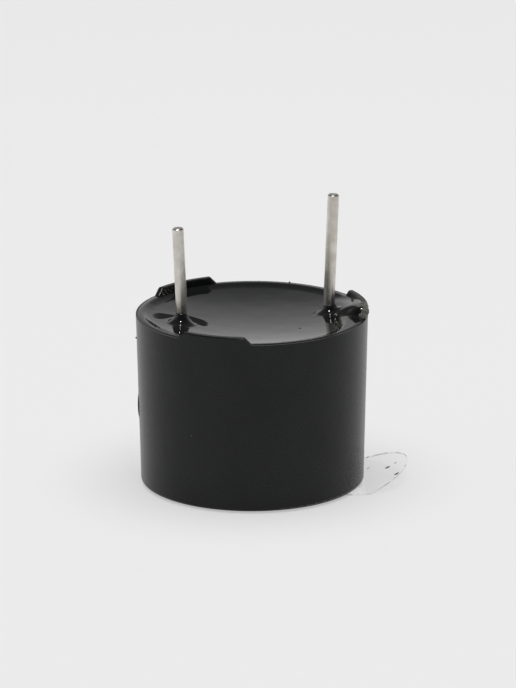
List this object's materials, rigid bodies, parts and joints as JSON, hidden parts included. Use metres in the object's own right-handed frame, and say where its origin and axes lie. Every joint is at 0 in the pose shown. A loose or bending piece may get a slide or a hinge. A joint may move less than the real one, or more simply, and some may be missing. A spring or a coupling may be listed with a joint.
{
  "type": "magnetic buzzer",
  "caption": "Round self-driven magnetic buzzer in a moulded cup, potted with resin, with two leaning pins up and a clear peel-off seal under its sound face.",
  "frame": {"origin": "on the housing's axis, in the plane that the buzzer stands on, which is the underside of the clear seal", "axes": "+Z from the sound face to the pins, +X from the short pin to the long pin"},
  "size_m": [0.0143, 0.0122, 0.0154],
  "materials": {
    "housing_plastic": "moulded black, slight sheen",
    "potting_resin": "cured black casting resin, glossy",
    "pin_tin": "drawn wire, dull tin plating",
    "clear_film": "clear polyester film",
    "spring_iron": "rolled thin iron",
    "soft_iron": "zinc-plated iron",
    "ring_plastic": "moulded black",
    "ferrite": "sintered ferrite, ground faces",
    "bobbin_plastic": "moulded natural nylon",
    "enamelled_copper": "enamelled magnet wire",
    "glass_epoxy": "green solder mask on glass epoxy",
    "package_epoxy": "moulded black epoxy",
    "resistor_ceramic": "black glaze over alumina",
    "tinned_metal": "matt tin plating",
    "solder": "bright solder"
  },
  "bodies": {
    "root": {"housing": "housing_plastic", "seal_film": "clear_film", "diaphragm": "spring_iron", "diaphragm_weight": "soft_iron", "support_ring": "ring_plastic", "ring_magnet": "ferrite", "pole_core": "soft_iron", "yoke_plate": "soft_iron", "coil_bobbin": "bobbin_plastic", "drive_winding": "enamelled_copper", "feedback_winding": "enamelled_copper", "coil_leads": "enamelled_copper", "circuit_board": "glass_epoxy", "transistor_body": "package_epoxy", "transistor_leads": "tinned_metal", "resistor_body": "resistor_ceramic", "resistor_caps": "tinned_metal", "chip_solder": "solder", "coil_solder": "solder", "pin_solder": "solder", "long_pin": "pin_tin", "short_pin": "pin_tin", "potting_resin": "potting_resin"}
  },
  "joints": []
}
